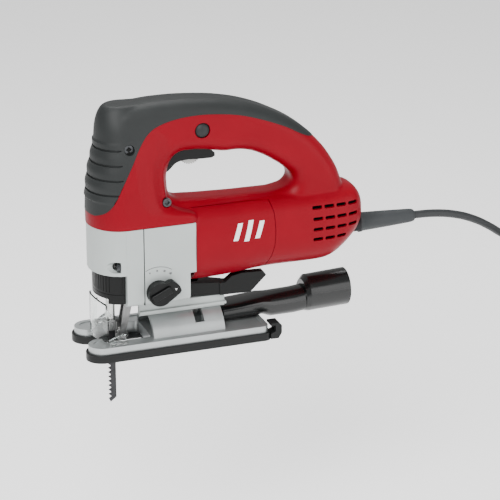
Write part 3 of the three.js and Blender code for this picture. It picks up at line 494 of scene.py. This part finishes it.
def carved(piece, operation, shape, keep=False):
    """Cuts a piece with a working shape, which is taken away unless it is kept."""
    cut = piece.modifiers.new("cut", "BOOLEAN")
    cut.operation, cut.object, cut.solver = operation, shape, "MANIFOLD"
    settled(piece)
    if not keep:
        bpy.data.objects.remove(shape)
    return piece


def crisp(piece, angle=38):
    """Smooth skin with its cut edges kept sharp."""
    for polygon in piece.data.polygons:
        polygon.use_smooth = True
    piece.data.set_sharp_from_angle(angle=math.radians(angle))
    return piece


def coated(piece, material):
    """Gives a carved piece one finish in place of those its tools left on it."""
    piece.data.materials.clear()
    piece.data.materials.append(material)
    return piece


# The lines where the shells, the motor housing and the soft grips meet, seen from the side.
rear_seam = [
    (70, 133), (79, 130.5), (84, 126), (86, 117), (86.5, 100), (85.6, 88), (83.6, 78), (80.5, 68),
    (76, 54),
]
HALF_SEAM = 0.26
shell_field = [(-90, 117.3), (13.8, 117.3), (13.8, 126.8), (68, 126.8)]
shell_field += [(x + HALF_SEAM, z) for x, z in rear_seam if z < 127]
shell_field += [(190, 54), (190, 240), (-90, 240)]
motor_field = [(13.8, 50), (13.8, 126.3), (67.8, 126.3)]
motor_field += [(x - HALF_SEAM, z) for x, z in rear_seam if z < 126.4] + [(76, 50)]
grip_field = [
    (-95, 129), (-72, 128.6), (-64, 133.5), (-57, 142.5), (-49.5, 158), (-42, 172.5), (-34, 187), (-25, 198),
    (-12, 204.8), (4, 208.4), (24, 209.4), (45, 207.6), (61, 204.6), (80, 198.6), (100, 190.4), (112, 183.8),
    (121, 179.4), (127.5, 177.6), (146, 184), (120, 206), (60, 240), (-40, 245), (-95, 225)]
grip_field = [tuple(p) for p in eased(grip_field[1:18], 4)] + grip_field[18:] + grip_field[:1]


def field(outline):
    """A tool as wide as the body, with an outline in x and z."""
    bm = bmesh.new()
    side_prism(bm, outline)
    return bare("field", bm)


def half_space(side):
    """A tool that holds one side of the body, up to a hair from the middle."""
    hair = 0.04
    bm = bmesh.new()
    block(bm, (-200, hair if side > 0 else -60, 0), (300, 60 if side > 0 else -hair, 300))
    return bare("half_space", bm)


# ---------------------------------------------------------------------------
# Handle shells: two halves of red glass-filled nylon, screwed together along
# the middle. They hold the switch, the rear bearing and the cord, and their
# rear ends are slotted for the cooling air.
# ---------------------------------------------------------------------------
red = finish_of("red_nylon", (0.188, 0.0004, 0.0072), 0.38, grain=0.10, grain_size=0.35, mottle=0.05,
                gloss_break=0.14, blotch=30, specular=0.1)
screw_places = [(-43, 187), (-9.8, 135.7)]
lock_place = (24, 195.4)
shells = copy_of(body_skin, "shells")
carved(shells, "INTERSECT", field(shell_field))
carved(shells, "DIFFERENCE", field(grip_field))
carved(shells, "DIFFERENCE", body_inside, keep=True)
openings = bmesh.new()
for x, z in screw_places:
    drum(openings, (x, z), 4.5, -60, -20.2)
block(openings, (-7, -9.8, 160), (41.4, 9.8, 185))
drum(openings, lock_place, 6.9, -60, 0)
drum(openings, (0, LEAD_Z), 8.5, 150, 190, axis="x")
drum(openings, (-56, 0), 7, 110, 122, axis="z")
carved(shells, "DIFFERENCE", bare("openings", openings))
vents = bmesh.new()
for z, slots in ((116, 4), (106.4, 4), (97, 4), (87.8, 3)):
    for k in range(slots):
        x = 122 + k * 11.5
        made = block(vents, (x, -60, z - 1.6), (x + 9.4, 60, z + 1.6))
        across = [e for e in vents.edges if e.verts[0] in made and e.verts[1] in made
                  and abs(e.verts[0].co.y - e.verts[1].co.y) > 0.05]
        bmesh.ops.bevel(vents, geom=across, offset=1.2 * MM, segments=3, profile=0.5, affect="EDGES",
                        material=-1)
carved(shells, "DIFFERENCE", bare("vents", vents))
for side, name in ((-1, "left"), (1, "right")):
    half = copy_of(shells, "handle_half_" + name)
    carved(half, "INTERSECT", half_space(side))
    crisp(coated(half, red))
    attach(half, "housing_body")
    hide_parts("handle_shell_" + name)
bpy.data.objects.remove(shells)

# ---------------------------------------------------------------------------
# Motor housing: the red middle length of the barrel, one moulding between the
# gear case and the handle shells, with the stator inside.
# ---------------------------------------------------------------------------
barrel_piece = copy_of(body_skin, "motor_barrel")
carved(barrel_piece, "INTERSECT", field(motor_field))
carved(barrel_piece, "DIFFERENCE", body_inside, keep=True)
crisp(coated(barrel_piece, red))
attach(barrel_piece, "housing_body")
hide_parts("motor_housing")

# Three plain slanted bars, printed on the left of the barrel.
MARK_Z = 104
bars = bmesh.new()
for x, long in ((47, 15), (57, 18), (67, 15)):
    foot, head = MARK_Z - long / 2, MARK_Z + long / 2
    side_prism(bars, [(x, foot), (x + 4.4, foot), (x + 9.4, head), (x + 5, head)], -60, 0)
plain_mark = settled(pushed(copy_of(body_skin, "plain_mark"), 0.12))
carved(plain_mark, "INTERSECT", bare("bars", bars))
carved(plain_mark, "DIFFERENCE", settled(pushed(copy_of(body_skin, "thin_skin"), 0.02)))
coated(plain_mark, finish_of("white_print", (0.86, 0.86, 0.85), 0.5, grain=0.1, grain_size=0.3))
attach(plain_mark, "housing_body")

# ---------------------------------------------------------------------------
# Vent shade walls: two thin black walls behind the rear slots, so that a finger or
#  a look through them ends there; their black is painted shade, the dark inside the slots.
# ---------------------------------------------------------------------------
bm = bmesh.new()
for side in (-1, 1):
    block(bm, (119, side * 19.4 - 0.5, 83), (167, side * 19.4 + 0.5, 121))
# Near-black painted shade, used here and behind the seams below.
painted_shade_black = finish_of("painted_shade_black", (0.008, 0.008, 0.008), 0.8, grain=0.3, specular=0.1)
vent_shade = piece_from("vent_shade_walls", bm, painted_shade_black, "housing_body", ())
crisp(carved(vent_shade, "INTERSECT", body_inside, keep=True))

# ---------------------------------------------------------------------------
# Soft grips: black thermoplastic rubber over the nose and the back of the
# handle, standing a little proud of the red shells, with short finger grooves
# at the front.
# ---------------------------------------------------------------------------
soft_black = finish_of("grip_rubber", (0.012, 0.0138, 0.0138), 0.55, grain=0.35, grain_size=0.45,
                       mottle=0.09, gloss_break=0.08, blotch=24, specular=0.3)
grips = settled(pushed(copy_of(body_skin, "grips"), 0.3))
inner_line = [(x - 0.16, z + 0.16) for x, z in grip_field[:-5]] + grip_field[-5:]
carved(grips, "INTERSECT", field(inner_line))
carved(grips, "DIFFERENCE", body_inside, keep=True)
holes = bmesh.new()
drum(holes, screw_places[0], 4.5, -60, -20.2)
carved(grips, "DIFFERENCE", bare("holes", holes))
groove_heights, GROOVE_PITCH = (186, 173.4, 160.8, 148.2), 12.6
bars = bmesh.new()
for z in groove_heights:
    side_prism(bars, [(-95, z - 0.9), (-53, z - 0.3), (-50.5, z + 0.3), (-49.6, z + 1), (-50.5, z + 1.5),
                      (-53, z + 1.3), (-95, z + 1.1)])
groove_floor = settled(pushed(copy_of(body_skin, "groove_floor"), -1.0))
carved(grips, "DIFFERENCE", carved(bare("grooves", bars), "DIFFERENCE", groove_floor))
# The rubber swells between the grooves, fading out toward the sides of the nose.
SWELL, SWELL_BACK, FADE = 0.9, -46, 14
for vertex in grips.data.vertices:
    x, z = vertex.co.x / MM, vertex.co.z / MM
    if x < SWELL_BACK and 142 < z < 192.5:
        wave = math.sin(math.pi * (z - groove_heights[-1]) / GROOVE_PITCH) ** 2
        vertex.co.x -= SWELL * MM * wave * min(1.0, (SWELL_BACK - x) / FADE)
for side, name in ((-1, "left"), (1, "right")):
    half = copy_of(grips, "grip_half_" + name)
    carved(half, "INTERSECT", half_space(side))
    crisp(coated(half, soft_black))
    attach(half, "housing_body")
    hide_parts("soft_grip_" + name)
bpy.data.objects.remove(grips)

# ---------------------------------------------------------------------------
# Seam shade: a thin black wall just inside the shells, behind the seams, so
#  that no light passes where two mouldings meet; its black is painted shade that makes the seam lines read
#  dark.
# ---------------------------------------------------------------------------
seam_shade = settled(pushed(copy_of(body_inside, "seam_shade_wall"), -0.1))
carved(seam_shade, "DIFFERENCE", settled(pushed(copy_of(body_inside, "core"), -0.9)))
carved(seam_shade, "INTERSECT", field([(-90, 119), (56, 119), (56, 54), (98, 54), (98, 138), (160, 150),
                                   (160, 240), (-90, 240)]))
cuts = bmesh.new()
block(cuts, (-9, -10.6, 158), (43, 10.6, 187))
drum(cuts, lock_place, 8.4, -60, 0)
carved(seam_shade, "DIFFERENCE", bare("cuts", cuts))
crisp(coated(seam_shade, painted_shade_black))
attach(seam_shade, "housing_body")
bpy.data.objects.remove(body_skin)
bpy.data.objects.remove(body_inside)

# ---------------------------------------------------------------------------
# Gear case, its front cover and the tilt support: light metal castings with a
# fine satin paint, broken edges, and the knob's scale printed on the side.
# ---------------------------------------------------------------------------
def refined(node, name, material, width=0.4, segments=2, angle=28):
    """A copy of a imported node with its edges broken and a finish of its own."""
    body = frame["nodes"][node]["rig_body"]
    return softened(piece_from(name, merged(node), material, body, [node]), width, segments, angle)


COVER_JOINT_X = -33.45
casting = finish_of("satin_casting", (0.39, 0.42, 0.41), 0.42, metal=0.25, grain=0.22, grain_size=0.35,
                    mottle=0.035, gloss_break=0.12, blotch=34)
rear_half = refined("gear_case", "gear_case_casting", casting, 0.5, 3)
front_half = refined("gear_case_cover", "front_cover_casting", casting, 0.5, 3)
for half, way in ((rear_half, 0.3), (front_half, -0.3)):
    for vertex in half.data.vertices:
        if abs(vertex.co.x / MM - COVER_JOINT_X) < 0.5 and abs(vertex.co.y) > 20 * MM:
            vertex.co.x += way * MM
refined("tilt_support", "tilt_support_casting", casting, 0.5, 3)
# Black strips in the joint between the gear case and its front cover: painted shade, so that the widened
# seam reads as a dark line.
bm = bmesh.new()
for side in (-1, 1):
    block(bm, (-33.86, side * 29.9 - 0.7, 47), (-33.04, side * 29.9 + 0.7, 116.6))
cover_seam_shade_black = finish_of("cover_seam_shade_black", (0.01, 0.01, 0.01), 0.7, grain=0.3, specular=0.2)
piece_from("cover_seam_shade", bm, cover_seam_shade_black, "housing_body", ())
bm = bmesh.new()
knob_middle = (-21.5, 58.3)
for k in range(26):
    a = math.radians(57 + k * 2.4)
    made = block(bm, (22.6, -31.14, -0.3), (23.1, -31.02, 0.7))
    bmesh.ops.rotate(bm, verts=made, cent=(0, 0, 0), matrix=Matrix.Rotation(-a, 3, "Y"))
    bmesh.ops.translate(bm, verts=made, vec=(knob_middle[0] * MM, 0, knob_middle[1] * MM))
for degrees, size in ((112, 0.9), (92, 1.1), (72, 1.3), (54, 1.5)):
    a = math.radians(degrees)
    drum(bm, (knob_middle[0] + 19.4 * math.cos(a), knob_middle[1] + 19.4 * math.sin(a)), size * 0.8,
         -31.14, -31.02)
grey_print = finish_of("grey_print", (0.16, 0.17, 0.17), 0.55, grain=0.1, grain_size=0.3)
piece_from("orbit_scale", bm, grey_print, "housing_body", ())

# ---------------------------------------------------------------------------
# Screws: blackened steel with a hex recess. Two hold the handle halves, two
# hold the front cover.
# ---------------------------------------------------------------------------
black_steel = finish_of("blackened_steel", (0.06, 0.062, 0.066), 0.32, metal=0.9, grain=0.15,
                        grain_size=0.2, mottle=0.2, gloss_break=0.3, blotch=3)
for node, place, axis, low, high in (
        ("housing_screw_1", screw_places[0], "y", -24.2, -21.6),
        ("housing_screw_2", screw_places[1], "y", -24.2, -21.6),
        ("cover_screw_left", (-27.6, 84), "x", -58, -55.6),
        ("cover_screw_right", (27.6, 84), "x", -58, -55.6)):
    screw = piece_from(node + "_head", merged(node), black_steel, "housing_body", [node])
    if node == "housing_screw_2":  # it is drawn a little behind and below its solid
        screw.data.transform(Matrix.Translation(Vector((3.2, 0, -2.6)) * MM))
    recess = bmesh.new()
    drum(recess, place, 2.0, low, high, axis=axis, sides=6)
    taken_out(screw, recess)
    softened(screw, 0.22, 2, 35)

# ---------------------------------------------------------------------------
# Hand controls: trigger with a ribbed speed wheel in it, domed lock button,
# and the switch behind them.
# ---------------------------------------------------------------------------
control_black = finish_of("control_black", (0.0025, 0.0029, 0.0028), 0.34, grain=0.25,
                          grain_size=0.35, mottle=0.15, gloss_break=0.18, blotch=12, specular=0.2)
refined("trigger", "trigger_paddle", control_black, 1.0, 4, 32)
bm = bmesh.new()
profile = [(0, -21.2), (1.4, -21.15), (2.8, -20.9), (4.2, -20.4), (5.4, -19.6), (6.1, -18.8),
           (6.4, -17.8), (6.4, -15.8), (7.6, -15.6), (7.6, -13), (5, -12.8), (5, -6), (0, -6)]
line = [bm.verts.new(((lock_place[0] + r) * MM, y * MM, lock_place[1] * MM)) for r, y in profile]
for a, b in zip(line, line[1:]):
    bm.edges.new((a, b))
bmesh.ops.spin(bm, geom=bm.verts[:] + bm.edges[:], cent=(lock_place[0] * MM, 0, lock_place[1] * MM),
               axis=(0, 1, 0), angle=2 * math.pi, steps=56, use_merge=True, use_duplicate=False)
bmesh.ops.remove_doubles(bm, verts=bm.verts, dist=1e-6)
bmesh.ops.recalc_face_normals(bm, faces=bm.faces)
crisp(piece_from("lock_button_dome", bm, soft_black, "lock_body", ["lock_button"]), 40)
bm = bmesh.new()
WHEEL_X, WHEEL_Z, WHEEL_SIDES = 17.5, 171.6, 112
for vertex in drum(bm, (WHEEL_X, WHEEL_Z), 10.0, -4.2, 4.2, sides=WHEEL_SIDES):
    spoke = Vector((vertex.co.x - WHEEL_X * MM, 0, vertex.co.z - WHEEL_Z * MM))
    step = round(math.degrees(math.atan2(spoke.z, spoke.x)) / (360 / WHEEL_SIDES))
    if step % 4 in (0, 1):
        vertex.co -= spoke.normalized() * 0.55 * MM
flats = [f for f in bm.faces if len(f.verts) > 8]
bmesh.ops.inset_region(bm, faces=flats, thickness=1.6 * MM, depth=0)
for flat in flats:
    bmesh.ops.translate(bm, verts=flat.verts[:], vec=(0, 0.5 * MM * (1 if flat.normal.y < 0 else -1), 0))
pale_nylon = finish_of("pale_grey_nylon", (0.50, 0.50, 0.48), 0.45, grain=0.2, grain_size=0.3)
softened(piece_from("speed_wheel", bm, pale_nylon, "dial_body", ["speed_dial"]), 0.12, 2, 30)
switch_plastic = finish_of("switch_plastic", (0.03, 0.032, 0.035), 0.5, grain=0.4, grain_size=0.5)
refined("switch_module", "switch_block", switch_plastic, 0.6, 3)

# ---------------------------------------------------------------------------
# Orbit knob and bevel lever: glass-filled black plastic; the knob has a small
# white pointer.
# ---------------------------------------------------------------------------
bm = merged("orbit_knob")
face = min((f for f in bm.faces if f.normal.y < -0.95),
           key=lambda f: (round(f.calc_center_median().y / MM), -f.calc_area()))
bmesh.ops.inset_region(bm, faces=[face], thickness=1.5 * MM, depth=0)
bmesh.ops.translate(bm, verts=face.verts[:], vec=(0, 0.7 * MM, 0))
softened(piece_from("orbit_selector_knob", bm, control_black, "orbit_knob_body", ["orbit_knob"]), 0.5, 3, 32)
refined("bevel_lever", "bevel_clamp_lever", control_black, 0.7, 3)
bm = bmesh.new()
rib = block(bm, (-10.2, -41.6, -3.4), (9.2, -38.6, 3.4))
bmesh.ops.rotate(bm, verts=rib, cent=(0, 0, 0), matrix=Matrix.Rotation(math.radians(-25), 3, "Y"))
bmesh.ops.translate(bm, verts=rib, vec=Vector((-20, 0, 58.9)) * MM)
softened(piece_from("knob_grip", bm, control_black, "orbit_knob_body", ()), 1.3, 4)
bm = bmesh.new()
side_prism(bm, [(-9.6, 63.4), (-6.0, 63.4), (-7.8, 60.2)], -39.15, -38.8)
pointer_white = finish_of("pointer_white", (0.85, 0.85, 0.84), 0.5, grain=0.1)
piece_from("knob_pointer", bm, pointer_white, "orbit_knob_body", ())

# ---------------------------------------------------------------------------
# Blade end: quick-release lever, skirt, plunger, clamp, blade, roller and
# the fork that swings it.
# ---------------------------------------------------------------------------
nose_black = finish_of("nose_black", (0.002, 0.0023, 0.0023), 0.3, grain=0.3, grain_size=0.4,
                       mottle=0.15, gloss_break=0.15, blotch=14, specular=0.2)
bm = merged("blade_release_lever")
tree = BVHTree.FromBMesh(bm)
flutes = bmesh.new()
for k in range(-8, 9):
    a = math.radians(k * 7.5)
    out = Vector((-math.cos(a), math.sin(a), 0))
    hit = tree.ray_cast(Vector((-50, 0, 66)) * MM + out * 60 * MM, -out)[0]
    if hit:
        drum(flutes, (hit.x / MM + 0.15 * math.cos(a), hit.y / MM - 0.15 * math.sin(a)), 0.5, 59.4, 73.8,
             axis="z", sides=12)
lever = piece_from("release_lever", bm, nose_black, "release_lever_body", ["blade_release_lever"])
taken_out(lever, flutes)
softened(lever, 0.35, 3)
refined("nose_skirt", "front_skirt", nose_black, 0.7, 3)
ground = finish_of("ground_steel", (0.58, 0.58, 0.57), 0.24, metal=1.0, grain=0.12, grain_size=0.12,
                   mottle=0.06, gloss_break=0.25, blotch=6, scratches=0.08)
dark_steel = finish_of("hardened_steel", (0.24, 0.24, 0.238), 0.36, metal=1.0, grain=0.2,
                       grain_size=0.2, mottle=0.18, gloss_break=0.25, blotch=5)
refined("plunger_rod", "plunger", ground, 0.35, 2)
refined("blade_clamp", "quick_clamp", dark_steel, 0.35, 2)
refined("yoke", "scotch_yoke", dark_steel, 0.4, 2)
refined("guide_roller", "grooved_roller", ground, 0.25, 2)
refined("roller_pin", "roller_axle", ground, 0.2, 2)
refined("orbit_fork", "orbit_arm", dark_steel, 0.3, 2)
blade_finish = finish_of("blade_steel", (0.035, 0.035, 0.037), 0.38, metal=0.7, grain=0.3,
                         grain_size=0.25, mottle=0.25, gloss_break=0.3, blotch=4, scratches=0.2)
refined("blade", "saw_blade", blade_finish, 0.08, 1, 20)

# ---------------------------------------------------------------------------
# Sole: cast plate in a black slide-on cover, the clear chip guard, and the
# dust tube that runs back from it.
# ---------------------------------------------------------------------------
plate_finish = finish_of("sole_casting", (0.40, 0.42, 0.42), 0.34, metal=0.75, grain=0.25,
                         grain_size=0.4, mottle=0.06, gloss_break=0.2, blotch=18, scratches=0.3)
plate = refined("shoe_plate", "sole_plate", plate_finish, 0.4, 3)
sole_black = finish_of("sole_black", (0.0035, 0.004, 0.004), 0.38, grain=0.35, grain_size=0.5,
                       mottle=0.15, gloss_break=0.2, blotch=10, specular=0.25)
cover = refined("sole_cover", "sole_slide_cover", sole_black, 0.6, 3)
clear = finish_of("clear_polycarbonate", (0.93, 0.96, 0.95), 0.05, mottle=0.01, gloss_break=0.4,
                  grain=0.05, grain_size=2.0, blotch=12)
see_through = clear.node_tree.nodes["Principled BSDF"].inputs
see_through["Transmission Weight"].default_value = 1.0
see_through["IOR"].default_value = 1.49
refined("chip_guard", "clear_chip_guard", clear, 0.5, 3)
# The toe is drawn a little longer than its solids.
TOE_STARTS, TOE_STRETCH = -60, 0.13
for piece in (plate, cover):
    for vertex in piece.data.vertices:
        ahead = TOE_STARTS - vertex.co.x / MM
        if ahead > 0:
            vertex.co.x -= TOE_STRETCH * ahead * MM
gloss_black = finish_of("gloss_black", (0.003, 0.0034, 0.0034), 0.22, grain=0.1, grain_size=0.5,
                        mottle=0.1, gloss_break=0.3, blotch=26, specular=0.5)
duct = refined("dust_tube", "dust_duct", gloss_black, 0.5, 3, 24)
# The tube sags a little between the sole and its spigot.
SAG, SAG_STARTS, SAG_LENGTH = 1.7, 84, 56
for vertex in duct.data.vertices:
    along = (vertex.co.x / MM - SAG_STARTS) / SAG_LENGTH
    if 0 < along < 1:
        vertex.co.z -= SAG * MM * math.sin(math.pi * along) ** 0.7

# ---------------------------------------------------------------------------
# Parts inside the housings keep their machined shapes, with broken edges and
# the finish of what they are made of.
# ---------------------------------------------------------------------------
def kept(node, material):
    """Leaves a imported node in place, gives it a finish and breaks its edges."""
    shown = frame["nodes"][node]
    for place in shown.material_slots:
        place.material = material
    shown.modifiers.new("join", "WELD").merge_threshold = 2e-6
    edge = shown.modifiers.new("edge", "BEVEL")
    edge.width, edge.segments, edge.limit_method = 0.25 * MM, 2, "ANGLE"
    edge.angle_limit = math.radians(35)


laminations = finish_of("laminated_steel", (0.30, 0.30, 0.31), 0.42, metal=1.0, grain=0.8,
                        grain_size=0.6, mottle=0.12, scratches=14.0)
bearing = finish_of("bearing_steel", (0.62, 0.62, 0.61), 0.2, metal=1.0, grain=0.08, grain_size=0.2,
                    gloss_break=0.25)
bronze = finish_of("sintered_bronze", (0.42, 0.24, 0.10), 0.45, metal=1.0, grain=0.6, grain_size=0.25,
                   mottle=0.15, blotch=3)
brass = finish_of("brass", (0.62, 0.42, 0.13), 0.32, metal=1.0, grain=0.2, grain_size=0.3,
                  mottle=0.1, blotch=5)
copper = finish_of("copper_bars", (0.65, 0.27, 0.14), 0.3, metal=1.0, grain=0.5, grain_size=0.9,
                   mottle=0.15, blotch=4, scratches=0.02)
carbon = finish_of("brush_carbon", (0.02, 0.02, 0.02), 0.6, grain=0.6, grain_size=0.3, mottle=0.2, blotch=3)
fan_grey = finish_of("fan_plastic", (0.05, 0.055, 0.06), 0.5, grain=0.35, grain_size=0.5)
for material, nodes in (
        (laminations, ("armature_core", "field_stator")),
        (ground, ("armature_shaft", "clamp_nut", "clamp_screw")),
        (dark_steel, ("drive_gear",)),
        (bearing, ("gear_bearing", "front_bearing", "rear_bearing")),
        (bronze, ("lower_bushing", "upper_bushing")),
        (brass, ("brush_holder_left", "brush_holder_right")),
        (carbon, ("brush_left", "brush_right")),
        (copper, ("commutator",)),
        (fan_grey, ("cooling_fan",))):
    for node in nodes:
        kept(node, material)

# ---------------------------------------------------------------------------
# The table under the saw, and the studio: one large soft light to the left,
# a weaker one to the right and a strip from above and behind.
# ---------------------------------------------------------------------------
FLOOR_SIZE, FLOOR_Z = 40, -0.24
bm = bmesh.new()
bmesh.ops.create_grid(bm, x_segments=1, y_segments=1, size=FLOOR_SIZE)
bmesh.ops.translate(bm, verts=bm.verts, vec=(0, 0, FLOOR_Z))
floor = bare("floor", bm)
floor.data.materials.append(finish_of("pale_floor", (0.9, 0.9, 0.9), 0.9, mottle=0.005, blotch=400))
glow = floor.data.materials[0].node_tree.nodes["Principled BSDF"]
glow.inputs["Emission Color"].default_value = (1, 1, 1, 1)
glow.inputs["Emission Strength"].default_value = 0.55
floor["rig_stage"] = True
world = bpy.data.worlds.new("studio")
world.use_nodes = True
world.node_tree.nodes["Background"].inputs["Color"].default_value = (1, 1, 1, 1)
world.node_tree.nodes["Background"].inputs["Strength"].default_value = 0.5
bpy.context.scene.world = world
LIT_POINT = Vector((0.05, 0, 0.1))
for name, place, size, power in (
        ("key", (-0.9, -1.3, 1.5), 1.2, 60.0),
        ("fill", (1.2, -1.4, 0.6), 1.5, 20.0),
        ("top", (0.1, 0.5, 1.6), 1.0, 26.0)):
    lamp = bpy.data.lights.new(name, "AREA")
    lamp.energy, lamp.size = power, size
    light = bpy.data.objects.new(name, lamp)
    light.location = place
    light.rotation_mode = "QUATERNION"
    light.rotation_quaternion = (LIT_POINT - Vector(place)).to_track_quat("-Z", "Y")
    bpy.context.scene.collection.objects.link(light)

low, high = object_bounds()
